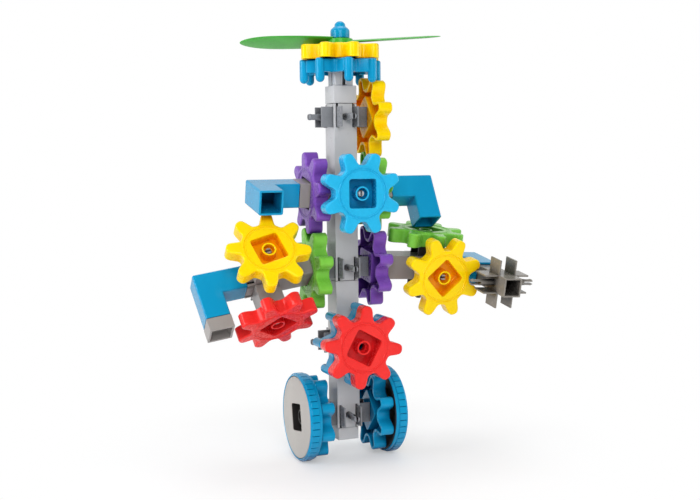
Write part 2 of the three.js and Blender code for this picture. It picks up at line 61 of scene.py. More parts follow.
hub_half = 0.0165
hub_sides = 4
fin_thickness = 0.0012
fin_length = 0.014
fin_reach = 0.0171
fin_edge = 0.00022
pin_radius = 0.0023
pin_neck_radius = 0.0021
pin_tip_radius = 0.0019
pin_reach = 0.0244
pin_barb = 0.0026
barb_rise_share = 0.6
barb_fall_share = 0.4
pin_slit = 0.0015
pin_slit_depth = 0.007
pin_steps = 24
core_corner = 0.0006
core_edge = 0.0003
corner_steps = 4
box_edge_steps = 2
round_profile = 0.5
overrun = 0.001
fine_weld = 1e-7
crease_degrees = 32.0
flat_face_weight = 100

coat_weight = 0.3
coat_roughness = 0.1
plastic_ior = 1.5
flow_noise = {"Scale": 38.0, "Detail": 3.0, "Distortion": 0.8}
flow_stretch = (1.0, 1.0, 0.35)
flow_range = (0.35, 0.7)
# Painted shade in hollows: how far the ambient occlusion looks, its samples, and the occlusion values mapped from
# full painted shade to none.
painted_shade_reach = 0.012
painted_shade_samples = 8
painted_shade_range = (0.3, 0.85)
scuff_noise = {"Scale": 420.0, "Detail": 4.0, "Roughness": 0.65}
scuff_range = (0.35, 0.75)
scuff_dulling = 0.12
ripple_noise = {"Scale": 130.0, "Detail": 2.0}
ripple_bump = {"Strength": 0.12, "Distance": 0.0004}

body_of_node = {
    node: body
    for body, nodes in frame["record"]["behaviour"]["bodies"].items()
    for node in nodes
}
slot_of_node = {part["node"]: part["material_slot"] for part in frame["record"]["subparts"]}
joint_named = {joint["name"]: joint for joint in frame["joints"]}


def linear_colour(shade):
    """A screen colour such as 0x8f8f90 as the linear colour that a shader takes."""
    channels = [((shade >> shift) & 255) / 255 for shift in (16, 8, 0)]
    return tuple(
        [c / 12.92 if c <= 0.04045 else ((c + 0.055) / 1.055) ** 2.4 for c in channels] + [1.0]
    )


def fill(tree, sockets, values):
    """Sockets linked to their values or set to them. None leaves a socket as it is."""
    for socket, value in zip(sockets, values):
        if isinstance(value, bpy.types.NodeSocket):
            tree.links.new(value, socket)
        elif value is not None:
            socket.default_value = value


def fill_named(tree, node, named):
    """A node's inputs filled by their names."""
    fill(tree, [node.inputs[name] for name in named], named.values())


def tree_node(tree, kind, *values, named=None, **settings):
    """A node with its settings, whose inputs are filled in order and then by their names."""
    node = tree.nodes.new(kind)
    for setting, value in settings.items():
        setattr(node, setting, value)
    fill(tree, node.inputs, values)
    fill_named(tree, node, named or {})
    return node


def moulded_plastic(name, shade, flow_shade, gloss, painted_hollow_shade=None):
    """Glossy moulded plastic: faint flow marks, a fine skin ripple and handling scuffs. Given a hollow shade, the
    colour is mixed towards it where ambient occlusion finds the surface sheltered: painted shade in hollows and
    recesses."""
    plastic = bpy.data.materials.new(name)
    plastic.use_nodes = True
    tree = plastic.node_tree
    place = tree_node(tree, "ShaderNodeTexCoord").outputs["Object"]
    along = tree_node(tree, "ShaderNodeMapping", place, named={"Scale": flow_stretch})
    flow = tree_node(tree, "ShaderNodeTexNoise", along.outputs["Vector"], named=flow_noise)
    spread = tree_node(tree, "ShaderNodeMapRange", flow.outputs["Fac"], *flow_range)
    tint = tree_node(tree, "ShaderNodeMix", data_type="RGBA", named={
        "Factor": spread.outputs["Result"], "A": linear_colour(shade), "B": linear_colour(flow_shade),
    })
    colour = tint.outputs["Result"]
    # Painted shade: sheltered spots, found by ambient occlusion, take the darker hollow shade colour.
    if painted_hollow_shade is not None:
        shade_occlusion = tree_node(tree, "ShaderNodeAmbientOcclusion", samples=painted_shade_samples,
                            named={"Distance": painted_shade_reach})
        openness = tree_node(tree, "ShaderNodeMapRange", shade_occlusion.outputs["AO"], *painted_shade_range)
        painted_shade_mix = tree_node(tree, "ShaderNodeMix", data_type="RGBA", named={
            "Factor": openness.outputs["Result"], "A": linear_colour(painted_hollow_shade), "B": colour,
        })
        colour = painted_shade_mix.outputs["Result"]
    scuffs = tree_node(tree, "ShaderNodeTexNoise", place, named=scuff_noise)
    dull = tree_node(tree, "ShaderNodeMapRange", scuffs.outputs["Fac"], *scuff_range,
                     gloss, gloss + scuff_dulling)
    ripple = tree_node(tree, "ShaderNodeTexNoise", place, named=ripple_noise)
    skin = tree_node(tree, "ShaderNodeBump", named={"Height": ripple.outputs["Fac"], **ripple_bump})
    fill_named(tree, tree.nodes["Principled BSDF"], {
        "Base Color": colour, "Roughness": dull.outputs["Result"], "Normal": skin.outputs["Normal"],
        "Coat Weight": coat_weight, "Coat Roughness": coat_roughness, "IOR": plastic_ior,
        "Specular Tint": linear_colour(shade),
    })
    return plastic


plastics = {"grey_tube": moulded_plastic("grey_tube_plastic", 0xC0C1C3, 0xC8C8CA, 0.27)}
# The hubs are of the tubes' grey plastic: this darker grey is painted shade, and the last colour is painted shade
# for their hollows.
shaded_hub_grey = moulded_plastic("hub_grey_plastic", 0x86888C, 0x8E9094, 0.24, 0x1E1E20)


def shown(name, data):
    """A mesh, lamp or camera as an object in the scene, at the origin."""
    piece = bpy.data.objects.new(name, data)
    bpy.context.scene.collection.objects.link(piece)
    return piece


def baked(piece):
    """The piece with its modifiers worked into a plain mesh; the piece itself goes."""
    bpy.context.view_layer.update()
    shape = piece.evaluated_get(bpy.context.evaluated_depsgraph_get())
    mesh = bpy.data.meshes.new_from_object(shape)
    bpy.data.objects.remove(piece)
    return mesh


def mesh_of(shape, name):
    """A bmesh as a plain mesh; the bmesh goes."""
    mesh = bpy.data.meshes.new(name)
    shape.to_mesh(mesh)
    shape.free()
    return mesh


def skin_through(rings):
    """Closed skin through rings of points. The last ring joins the first."""
    count = len(rings[0])
    faces = []
    for ring in range(len(rings)):
        after = (ring + 1) % len(rings)
        for step in range(count):
            ahead = (step + 1) % count
            faces.append((ring * count + step, ring * count + ahead,
                          after * count + ahead, after * count + step))
    mesh = bpy.data.meshes.new("skin")
    mesh.from_pydata([point for ring in rings for point in ring], [], faces)
    return outward(mesh)


def outward(mesh, reach=fine_weld):
    """Doubles within reach merged and every face turned outwards."""
    shape = bmesh.new()
    shape.from_mesh(mesh)
    bmesh.ops.remove_doubles(shape, verts=shape.verts, dist=reach)
    bmesh.ops.dissolve_degenerate(shape, edges=shape.edges, dist=reach)
    bmesh.ops.recalc_face_normals(shape, faces=shape.faces)
    shape.to_mesh(mesh)
    shape.free()
    return mesh


def square_ring(side, corner, height):
    """Points of a square with round corners, at a height."""
    centre = side / 2 - corner
    points = []
    for quarter in range(4):
        start = quarter * math.pi / 2
        for step in range(corner_steps + 1):
            angle = start + step / corner_steps * math.pi / 2
            x = centre * (1 if quarter in (0, 3) else -1) + corner * math.cos(angle)
            y = centre * (1 if quarter in (0, 1) else -1) + corner * math.sin(angle)
            points.append((x, y, height))
    return points


def round_ring(radius, height, steps):
    """Points of a circle at a height."""
    turns = [2 * math.pi * step / steps for step in range(steps)]
    return [(radius * math.cos(turn), radius * math.sin(turn), height) for turn in turns]


def square_tube(outer, inner, low, high, corner, edge):
    """Square tube along Z with round corners and softened rims."""
    return skin_through([
        square_ring(outer - 2 * edge, corner, low),
        square_ring(outer, corner, low + edge),
        square_ring(outer, corner, high - edge),
        square_ring(outer - 2 * edge, corner, high),
        square_ring(inner + 2 * edge, corner / 2, high),
        square_ring(inner, corner / 2, high - edge),
        square_ring(inner, corner / 2, low + edge),
        square_ring(inner + 2 * edge, corner / 2, low),
    ])


def soft_box(size, centre, edge):
    """Box with softened edges."""
    shape = bmesh.new()
    bmesh.ops.create_cube(shape, size=1.0)
    bmesh.ops.scale(shape, vec=size, verts=shape.verts)
    bmesh.ops.bevel(shape, geom=shape.edges[:], offset=edge, segments=box_edge_steps,
                    profile=round_profile, affect="EDGES")
    bmesh.ops.translate(shape, vec=centre, verts=shape.verts)
    return mesh_of(shape, "box")


def turned(profile, steps):
    """Solid of revolution about Z from (radius, height) points that start and end on the axis."""
    shape = bmesh.new()
    lowest = shape.verts.new((0, 0, profile[0][1]))
    highest = shape.verts.new((0, 0, profile[-1][1]))
    rings = [[shape.verts.new(point) for point in round_ring(radius, height, steps)]
             for radius, height in profile[1:-1]]
    for step in range(steps):
        ahead = (step + 1) % steps
        shape.faces.new((lowest, rings[0][ahead], rings[0][step]))
        shape.faces.new((highest, rings[-1][step], rings[-1][ahead]))
        for near, far in zip(rings, rings[1:]):
            shape.faces.new((near[step], near[ahead], far[ahead], far[step]))
    bmesh.ops.recalc_face_normals(shape, faces=shape.faces)
    return mesh_of(shape, "turned")


def cut_from(mesh, cutter):
    """The mesh with the cutter's space taken away."""
    holder = shown("cut", mesh)
    tool = shown("cutter", cutter)
    taking = holder.modifiers.new("Cut", "BOOLEAN")
    taking.operation = "DIFFERENCE"
    taking.solver = "MANIFOLD"
    taking.object = tool
    result = baked(holder)
    bpy.data.objects.remove(tool)
    return result


def new_tree(name, sizes):
    """Geometry Nodes tree with a geometry in and out and the named sizes as inputs."""
    tree = bpy.data.node_groups.new(name, "GeometryNodeTree")
    tree.interface.new_socket("Geometry", in_out="INPUT", socket_type="NodeSocketGeometry")
    for size, kind in sizes.items():
        tree.interface.new_socket(size, in_out="INPUT", socket_type=f"NodeSocket{kind}")
    tree.interface.new_socket("Geometry", in_out="OUTPUT", socket_type="NodeSocketGeometry")
    return tree, tree.nodes.new("NodeGroupInput"), tree.nodes.new("NodeGroupOutput")


def grown(tree, start, values):
    """The plain mesh that a tree makes of a starting mesh with these values."""
    holder = shown("grown", start)
    growing = holder.modifiers.new("Grow", "NODES")
    growing.node_group = tree
    for item in tree.interface.items_tree:
        if item.in_out == "INPUT" and item.name in values:
            growing[item.identifier] = values[item.name]
    return baked(holder)


# Geometry Nodes: copies of one part in a circle about Z, joined to the starting mesh.
circle_tree, given, made = new_tree(
    "copies_in_a_circle", {"Part": "Object", "Count": "Int", "Plastic": "Material"}
)
part = tree_node(circle_tree, "GeometryNodeObjectInfo", given.outputs["Part"])
spots = tree_node(circle_tree, "GeometryNodePoints", given.outputs["Count"])
number = tree_node(circle_tree, "GeometryNodeInputIndex")
pitch = tree_node(circle_tree, "ShaderNodeMath", math.tau, given.outputs["Count"], operation="DIVIDE")
turn = tree_node(circle_tree, "ShaderNodeMath", number.outputs[0], pitch.outputs[0],
                 operation="MULTIPLY")
about = tree_node(circle_tree, "ShaderNodeCombineXYZ", 0.0, 0.0, turn.outputs[0])
copies = tree_node(circle_tree, "GeometryNodeInstanceOnPoints", spots.outputs[0], named={
    "Instance": part.outputs["Geometry"], "Rotation": about.outputs[0],
})
real = tree_node(circle_tree, "GeometryNodeRealizeInstances", copies.outputs[0])
union = tree_node(circle_tree, "GeometryNodeMeshBoolean", operation="UNION", solver="MANIFOLD")
for joined in (given.outputs["Geometry"], real.outputs[0]):
    circle_tree.links.new(joined, union.inputs["Mesh 2"])
coat = tree_node(circle_tree, "GeometryNodeSetMaterial", union.outputs[0],
                 named={"Material": given.outputs["Plastic"]})
circle_tree.links.new(coat.outputs[0], made.inputs[0])


def circled(start, part_mesh, count, plastic):
    """The starting mesh joined to copies of a part in a circle."""
    part_object = shown("part", part_mesh)
    mesh = grown(circle_tree, start, {"Part": part_object, "Count": count, "Plastic": plastic})
    bpy.data.objects.remove(part_object)
    return mesh


def smooth_finish(mesh):
    """Smooth shading on round faces, flat shading on flat ones, and a crease at sharp edges."""
    mesh.shade_smooth()
    mesh.set_sharp_from_angle(angle=math.radians(crease_degrees))
    holder = shown("finish", mesh)
    weighing = holder.modifiers.new("Weigh", "WEIGHTED_NORMAL")
    weighing.keep_sharp = True
    weighing.weight = flat_face_weight
    return baked(holder)


def stands_for(node, mesh, place=None, look=None):
    """A finished piece in its place, which rides with the body of the node that it replaces."""
    own = mesh.copy()
    if place is not None:
        own.transform(place)
    slot = slot_of_node[node]
    own.materials.clear()
    own.materials.append(look or plastics[slot])
    own.polygons.foreach_set("material_index", [0] * len(own.polygons))
    piece = shown(f"{node}_moulding", own)
    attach(piece, body_of_node[node])
    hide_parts(node)


def slit_pin():
    """Round pin along +X with a barb behind its tip and a slit that lets it spring."""
    neck = pin_reach - pin_slit_depth
    profile = [(0, wall_middle), (pin_radius, wall_middle), (pin_radius, neck),
               (pin_neck_radius, neck + pin_slit), (pin_neck_radius, pin_reach - pin_barb),
               (pin_radius, pin_reach - pin_barb * barb_rise_share),
               (pin_radius, pin_reach - pin_barb * barb_fall_share),
               (pin_tip_radius, pin_reach), (0, pin_reach)]
    pin = turned(profile, pin_steps)
    pin.transform(Matrix.Rotation(math.pi / 2, 4, "Y"))
    slit_size = (pin_slit_depth + overrun, pin_slit, 2 * pin_radius + overrun)
    slit = soft_box(slit_size, (pin_reach + (overrun - pin_slit_depth) / 2, 0, 0), fin_edge)
    return cut_from(pin, slit)


def hub_mesh(low, high, pins=hub_sides):
    """Six-way hub: square core from low to high, with fins on four sides at z 0, and pins on
    all four or on two."""
    core = square_tube(spigot_side, spigot_bore, low, high, core_corner, core_edge)
    side = bmesh.new()
    for sign in (-1, 1):
        offset = sign * (spigot_side / 2 - fin_thickness / 2)
        size = (fin_reach - wall_middle, fin_thickness, fin_length)
        side.from_mesh(soft_box(size, ((fin_reach + wall_middle) / 2, offset, 0), fin_edge))
    finned = circled(core, mesh_of(side, "hub_side"), hub_sides, plastics["grey_tube"])
    solid = circled(finned, slit_pin(), pins, plastics["grey_tube"])
    bore_size = (spigot_bore, spigot_bore, high - low + overrun)
    return smooth_finish(cut_from(solid, soft_box(bore_size, (0, 0, (low + high) / 2), fin_edge)))


hub_shape = hub_mesh(-hub_half, hub_half)
level = {
    "a": joint_named["propeller_turn"]["pos_m"][2],
    "b": joint_named["left_upper_arm_swing"]["pos_m"][2],
    "c": joint_named["left_lower_arm_swing"]["pos_m"][2],
    "d": joint_named["lower_front_gear_spin"]["pos_m"][2],
    "e": joint_named["left_wheel_spin"]["pos_m"][2],
}
for letter, height in level.items():
    stands_for(f"column_hub_{letter}", hub_shape, Matrix.Translation((0, 0, height)), shaded_hub_grey)

# Column tubes, foot cap, top axle and the arms' tubes: square tubes moulded with slots for the
# fins, pushed over the hubs' cores. Their corners are a little round from the mould, which the
# plain tubes of the frame don't have.
tube_edge = 0.00042
edge_steps = 3
weld = 1e-6
flat_degrees = 1.0
sharp_degrees = 50.0
thin_face = 0.003
plastics["dark_tube"] = moulded_plastic("dark_tube_plastic", 0x96918E, 0xA09B98, 0.27)


def face_breadth(face):
    """How broad a face is, which for a long strip or a rim is its width."""
    return 2 * face.calc_area() / face.calc_perimeter()


def softened(node, edge, broad_edge=None):
    """A copy of a node's shape, with its flat faces joined up and its sharp edges rounded. The
    outer edges between two broad faces may get a larger rounding, before the rims."""
    shape = bmesh.new()
    shape.from_mesh(frame["nodes"][node].data)
    bmesh.ops.remove_doubles(shape, verts=shape.verts, dist=weld)
    bmesh.ops.dissolve_limit(shape, angle_limit=math.radians(flat_degrees),
                             verts=shape.verts, edges=shape.edges)
    for offset, least_breadth in ((broad_edge, thin_face), (edge, 0.0)):
        if offset is None:
            continue
        sharp = [e for e in shape.edges
                 if len(e.link_faces) == 2 and e.calc_face_angle() > math.radians(sharp_degrees)
                 and min(face_breadth(face) for face in e.link_faces) > least_breadth
                 and (e.is_convex or not least_breadth)]
        bmesh.ops.bevel(shape, geom=sharp, offset=offset, segments=edge_steps,
                        profile=round_profile, affect="EDGES", clamp_overlap=not least_breadth)
    return smooth_finish(mesh_of(shape, node))


tube_nodes = [f"column_tube_{place}" for place in ("lowest", "lower", "upper", "highest")]
tube_nodes += ["foot_cap", "top_axle", "upper_left_arm_sleeve", "upper_right_arm_sleeve",
               "lower_left_arm_tube", "lower_right_arm_tube", "lower_left_arm_end_tube"]
for node in tube_nodes:
    stands_for(node, softened(node, tube_edge))

# Elbows: glossy cyan-blue L pieces of square tube, open at both ends, that plug over the
# sleeves and hub cores at the ends of the arms.
elbow_edge = 0.0004
elbow_corner = 0.0013
# Its last colour is painted shade for its hollows.
plastics["deep_blue"] = moulded_plastic("deep_blue_plastic", 0x0A90C0, 0x1299C9, 0.18, 0x005A88)
for node in ("upper_left_arm_elbow", "upper_right_arm_elbow",
             "lower_left_arm_elbow", "lower_right_arm_elbow"):
    stands_for(node, softened(node, elbow_edge, elbow_corner))

# Gears: eight rounded teeth on a hollow moulded body. The front has a square pocket with a
# round hub in it and two fine raised rings, and its rim is well rounded. The back is open
# round the pocket's walls.
gear_teeth = 8
gear_tip = 0.0286
gear_root = 0.0193
gear_bias = 0.14
gear_bluntness = 1.8
gear_thickness = 0.010
gear_wall = 0.0018
gear_round = 0.0013
pocket_half = 0.0098
pocket_wall = 0.0012
pocket_floor = 0.0015
gear_hub_radius = 0.0049
gear_hub_setback = 0.0008
hub_recess_radius = 0.0038
hub_recess_depth = 0.0045
bore_radius = 0.0025
edge_round = 0.0003
ring_radii = (0.0160, 0.0174)
ring_half_width = 0.0002
ring_rise = 0.0003
gear_back = fin_reach + fit
post_gear_back = 0.0289
square_power = 12.0
steps_round = 192
rim_steps = 5
CIRCLE, SQUARE, TEETH = 0, 1, 2

# Each gear plastic: colour, flow mark colour, gloss, and the painted shade colour of its hollows.
gear_plastics = {
    "sky_blue": (0x26B0E0, 0x30B7E6, 0.22, 0x0070A4),
    "yellow": (0xFAD200, 0xFDD908, 0.24, 0xF29200),
    "red": (0xEC2E2C, 0xF03632, 0.22, 0xD21A20),
    "lime_green": (0x76C243, 0x80CB4C, 0.24, 0x2A7A1E),
    "purple": (0x7A4CB0, 0x8658BA, 0.24, 0x3E1F70),
}
for slot, look in gear_plastics.items():
    plastics[slot] = moulded_plastic(f"{slot}_plastic", *look)


def outline_tree(name, stations):
    """Geometry Nodes: a skin through rings round Z. Each station is (kind, size, height), where
    a circle or square has that radius or half side, and a toothed ring is set in by the size."""
    sizes = {"Steps": "Int", "Teeth": "Float", "Tip": "Float", "Root": "Float", "Bias": "Float",
             "Bluntness": "Float", "Square turn": "Float", "Square power": "Float",
             "Plastic": "Material"}
    tree, given, made = new_tree(name, sizes)
    put = given.outputs

    def calc(operation, *values):
        return tree_node(tree, "ShaderNodeMath", *values, operation=operation).outputs[0]

    def table(column, kind="FLOAT"):
        chosen = tree_node(tree, "GeometryNodeIndexSwitch", data_type=kind)
        for _ in range(len(stations) - 2):
            chosen.index_switch_items.new()
        fill(tree, chosen.inputs, (station, *(values[column] for values in stations)))
        return chosen.outputs[0]

    # A flat grid becomes the skin: its columns go round, and its rows are the stations, with
    # the first one once more at the end.
    rows = len(stations) + 1
    columns = calc("ADD", put["Steps"], 1.0)
    grid = tree_node(tree, "GeometryNodeMeshGrid", 1.0, 1.0, columns, rows)
    index = tree_node(tree, "GeometryNodeInputIndex").outputs[0]
    station = calc("MODULO", calc("MODULO", index, float(rows)), float(len(stations)))
    around = calc("FLOOR", calc("DIVIDE", calc("ADD", index, 0.5), float(rows)))
    angle = calc("MULTIPLY", calc("DIVIDE", around, put["Steps"]), math.tau)
    size, height, kind = table(1), table(2), table(0, "INT")

    # The toothed outline is a blunted cosine wave between root and tip. It is set in square to
    # itself, so a wall keeps its thickness round each tooth.
    toothed = calc("MULTIPLY", angle, put["Teeth"])
    swell, lowest, highest = (
        calc("TANH", calc("MULTIPLY", calc("SUBTRACT", wave, put["Bias"]), put["Bluntness"]))
        for wave in (calc("COSINE", toothed), -1.0, 1.0)
    )
    growth = calc("DIVIDE", calc("SUBTRACT", put["Tip"], put["Root"]),
                  calc("SUBTRACT", highest, lowest))
    radius = calc("ADD", put["Root"], calc("MULTIPLY", growth, calc("SUBTRACT", swell, lowest)))
    steepness = calc("SUBTRACT", 1.0, calc("MULTIPLY", swell, swell))
    wave_slope = calc("MULTIPLY", calc("MULTIPLY", calc("SINE", toothed), put["Teeth"]), -1.0)
    slope = calc("MULTIPLY", calc("MULTIPLY", growth, steepness),
                 calc("MULTIPLY", put["Bluntness"], wave_slope))
    length = calc("SQRT", calc("ADD", calc("MULTIPLY", radius, radius),
                               calc("MULTIPLY", slope, slope)))
    inset = calc("DIVIDE", size, length)
    tooth_out = calc("SUBTRACT", radius, calc("MULTIPLY", inset, radius))
    tooth_side = calc("MULTIPLY", inset, slope)

    # A square is a superellipse of a high power, which rounds its corners a little.
    square_angle = calc("SUBTRACT", angle, put["Square turn"])
    share_x, share_y = (calc("POWER", calc("ABSOLUTE", calc(wave, square_angle)), put["Square power"])
                        for wave in ("COSINE", "SINE"))
    square_out = calc("DIVIDE", size, calc("POWER", calc("ADD", share_x, share_y),
                                           calc("DIVIDE", 1.0, put["Square power"])))

    def by_kind(*values):
        chosen = tree_node(tree, "GeometryNodeIndexSwitch", data_type="FLOAT")
        chosen.index_switch_items.new()
        fill(tree, chosen.inputs, (kind, *values))
        return chosen.outputs[0]

    out = by_kind(size, square_out, tooth_out)
    side = by_kind(0.0, 0.0, tooth_side)
    cosine, sine = calc("COSINE", angle), calc("SINE", angle)
    x = calc("SUBTRACT", calc("MULTIPLY", out, cosine), calc("MULTIPLY", side, sine))
    y = calc("ADD", calc("MULTIPLY", out, sine), calc("MULTIPLY", side, cosine))
    spot = tree_node(tree, "ShaderNodeCombineXYZ", x, y, height)
    shaped = tree_node(tree, "GeometryNodeSetPosition", grid.outputs["Mesh"],
                       named={"Position": spot.outputs[0]})
    real = tree_node(tree, "GeometryNodeRealizeInstances", shaped.outputs[0])
    coat = tree_node(tree, "GeometryNodeSetMaterial", real.outputs[0],
                     named={"Material": put["Plastic"]})
    tree.links.new(coat.outputs[0], made.inputs[0])
    return tree


def rounded_rim(top, radius):
    """Stations of a toothed rim's rounded upper edge, from the flat top out to the wall."""
    rim = []
    for step in range(rim_steps + 1):
        bow = step / rim_steps * math.pi / 2
        rim.append((TEETH, radius * (1 - math.sin(bow)), top - radius * (1 - math.cos(bow))))
    return rim


def raised_ring(radius, top):
    """Stations of a fine raised ring on a flat face."""
    return [(CIRCLE, radius - 2 * ring_half_width, top),
            (CIRCLE, radius - ring_half_width, top + ring_rise),
            (CIRCLE, radius + ring_half_width, top + ring_rise),
            (CIRCLE, radius + 2 * ring_half_width, top)]


hub_top = gear_thickness - gear_hub_setback
recess_floor = hub_top - hub_recess_depth
ceiling = gear_thickness - gear_wall
socket_half = pocket_half + pocket_wall
gear_stations = [
    (SQUARE, pocket_half, gear_thickness - 2 * edge_round),
    (SQUARE, pocket_half + edge_round / 2, gear_thickness - edge_round / 2),
    (SQUARE, pocket_half + 2 * edge_round, gear_thickness),
    *raised_ring(ring_radii[0], gear_thickness),
    *raised_ring(ring_radii[1], gear_thickness),
    *rounded_rim(gear_thickness, gear_round),
    (TEETH, 0.0, edge_round),
    (TEETH, edge_round, 0.0),
    (TEETH, gear_wall - edge_round, 0.0),
    (TEETH, gear_wall, edge_round),
    (TEETH, gear_wall, ceiling - 2 * edge_round),
    (TEETH, gear_wall + 2 * edge_round, ceiling),
    (SQUARE, socket_half + 2 * edge_round, ceiling),
    (SQUARE, socket_half, ceiling - 2 * edge_round),
    (SQUARE, socket_half, edge_round),
    (SQUARE, socket_half - edge_round, 0.0),
    (CIRCLE, bore_radius + edge_round, 0.0),
    (CIRCLE, bore_radius, edge_round),
    (CIRCLE, bore_radius, recess_floor - edge_round),
    (CIRCLE, bore_radius + edge_round, recess_floor),
    (CIRCLE, hub_recess_radius - edge_round, recess_floor),
    (CIRCLE, hub_recess_radius, recess_floor + edge_round),
    (CIRCLE, hub_recess_radius, hub_top - edge_round),
    (CIRCLE, hub_recess_radius + edge_round, hub_top),
    (CIRCLE, gear_hub_radius - edge_round, hub_top),
    (CIRCLE, gear_hub_radius, hub_top - edge_round),
    (CIRCLE, gear_hub_radius, pocket_floor + edge_round),
    (CIRCLE, gear_hub_radius + edge_round, pocket_floor),
    (SQUARE, pocket_half - edge_round, pocket_floor),
    (SQUARE, pocket_half, pocket_floor + edge_round),
]
outline_values = {
    "Steps": steps_round, "Teeth": float(gear_teeth), "Tip": gear_tip, "Root": gear_root,
    "Bias": gear_bias, "Bluntness": gear_bluntness, "Square turn": math.pi / gear_teeth,
    "Square power": square_power, "Plastic": plastics["yellow"],
}


def outlined(tree, name, changes):
    """The closed skin that an outline tree makes of the gear's values with some changed."""
    return outward(grown(tree, bpy.data.meshes.new(name), {**outline_values, **changes}), weld)


gear_shape = smooth_finish(outlined(outline_tree("gear", gear_stations), "gear", {}))

half_tooth = 180.0 / gear_teeth
train_turn = 9.0
left_train_turn = 8.0
lower_front_turn = 39.0
left_high_turn = -14.0
top_stack_rise = 0.0395
right, left = Vector((1, 0, 0)), Vector((-1, 0, 0))
front, up = Vector((0, -1, 0)), Vector((0, 0, 1))


def facing(centre, z, x, turn):
    """Place with its Z and X along these directions, then turned about Z by degrees."""
    place = Matrix((x, z.cross(x), z)).transposed().to_4x4()
    place.translation = centre
    return place @ Matrix.Rotation(math.radians(turn), 4, "Z")


def on_column(letter, side, turn, back):
    """Place of a gear on one side of a column hub, its back at that distance from the axis."""
    place = facing(Vector((0, 0, level[letter])), side, up, turn)
    return place @ Matrix.Translation((0, 0, back))


def arm_axes(front_joint, top_joint, top_sign):
    """An arm's place: X and Y along two of its gears' axles, Z outward, centred on its hub."""
    x = Vector(joint_named[front_joint]["axis"]).normalized()
    y = Vector(joint_named[top_joint]["axis"]).normalized() * top_sign
    place = Matrix((x, y, x.cross(y))).transposed().to_4x4()
    place.translation = joint_named[front_joint]["pos_m"]
    return place


def on_arm(arm, side, turn, back):
    """Place of a gear or post on one side of an arm's hub."""
    return arm @ facing(Vector((0, 0, 0)), side, up, turn) @ Matrix.Translation((0, 0, back))


left_arm = arm_axes("left_arm_low_gear_spin", "left_arm_high_gear_spin", 1)
right_arm = arm_axes("right_arm_front_gear_spin", "right_arm_top_gear_spin", -1)
stack_place = Matrix.Translation((0, 0, level["a"]))
gear_places = {
    "gear_a_right": on_column("a", right, half_tooth + train_turn, gear_back),
    "gear_b_right": on_column("b", right, 2 * half_tooth - train_turn, gear_back),
    "gear_c_right": on_column("c", right, 3 * half_tooth + train_turn, gear_back),
    "gear_b_left": on_column("b", left, 2 * half_tooth + left_train_turn, gear_back),
    "gear_c_left": on_column("c", left, half_tooth - left_train_turn, gear_back),
    "gear_e_left": on_column("e", left, half_tooth, gear_back),
    "gear_e_right": on_column("e", right, half_tooth, gear_back),
    "front_gear_upper": on_column("b", front, -half_tooth, post_gear_back),
    "front_gear_lower": on_column("d", front, lower_front_turn, post_gear_back),
    "left_arm_gear_low": on_arm(left_arm, right, half_tooth, post_gear_back),
    "left_arm_gear_high": on_arm(left_arm, -front, left_high_turn, post_gear_back),
    "right_arm_gear_front": on_arm(right_arm, right, half_tooth, post_gear_back),
    "right_arm_gear_top": on_arm(right_arm, front, 0.0, gear_back),
    "top_gear": stack_place @ facing(Vector((0, 0, top_stack_rise + fit)), up, right, 2 * half_tooth),
}
for node, place in gear_places.items():
    stands_for(node, gear_shape, place)

# Posts: short square tubes over a hub's fins, closed at the outer end, with the slit pin that
# a free gear turns on. They are moulded in the same greys as the tubes.
post_plate = 0.002
bore_edge = 0.00026
post_low = tube_side / 2 + fit
post_high = post_gear_back - fit
post_middle = (post_low + post_high) / 2
tube_bore = tube_side - 2 * tube_wall
post_bore_high = post_high - post_plate
post_box = soft_box((tube_side, tube_side, post_high - post_low), (0, 0, post_middle), tube_edge)
post_bore = soft_box((tube_bore, tube_bore, post_bore_high - post_low + overrun),
                     (0, 0, (post_low + post_bore_high - overrun) / 2), bore_edge)
pin_cut = soft_box((tube_side, tube_side, post_high), (0, 0, post_high / 2 - post_plate), bore_edge)
post_pin = slit_pin()
post_pin.transform(Matrix.Translation((0, 0, post_gear_back - gear_back))
                   @ Matrix.Rotation(-math.pi / 2, 4, "Y"))
post_shape = smooth_finish(circled(cut_from(post_box, post_bore), cut_from(post_pin, pin_cut), 1,
                                   plastics["grey_tube"]))
post_places = {
    "front_post": on_column("b", front, 0.0, 0.0),
    "lower_left_arm_post_low": on_arm(left_arm, right, 0.0, 0.0),
    "lower_left_arm_post_high": on_arm(left_arm, -front, 0.0, 0.0),
    "lower_right_arm_post": on_arm(right_arm, right, 0.0, 0.0),
}
for node, place in post_places.items():
    stands_for(node, post_shape, place)

# Hubs of the lower arms, and the bare one that the right arm ends in like a hand. The hand's
# core reaches back into the elbow's open end.
elbow_leg = 0.034
hub_to_elbow = 0.0133
hand_reach = 0.049
hand_core_back = 0.006
hand_pins = 2
# The last colour is painted shade for the dark hubs' hollows.
dark_hub_grey = moulded_plastic("dark_hub_grey_plastic", 0x4C4C4E, 0x56565A, 0.24, 0x1A1A1B)
# The hand hub is of the dark hubs' plastic: its lighter, warmer grey is a painted reflection of the yellow gears,
# and the last colour is painted shade for its hollows.
reflection_tinted_hand_grey = moulded_plastic("hand_grey_plastic", 0x807B74, 0x8A857E, 0.2, 0x1E1D1C)
stands_for("lower_left_arm_hub", hub_shape, left_arm, dark_hub_grey)
stands_for("lower_right_arm_hub", hub_shape, right_arm, dark_hub_grey)
leg_tip = elbow_leg - tube_side / 2
hand_rise = hub_to_elbow + fit + leg_tip
hand_place = (right_arm @ Matrix.Translation((hand_reach, 0, hand_rise))
              @ Matrix.Rotation(math.pi / 2, 4, "Y"))
hand_shape = hub_mesh(leg_tip - hand_core_back - hand_reach, hub_half, hand_pins)
stands_for("hand_hub", hand_shape, hand_place, reflection_tinted_hand_grey)

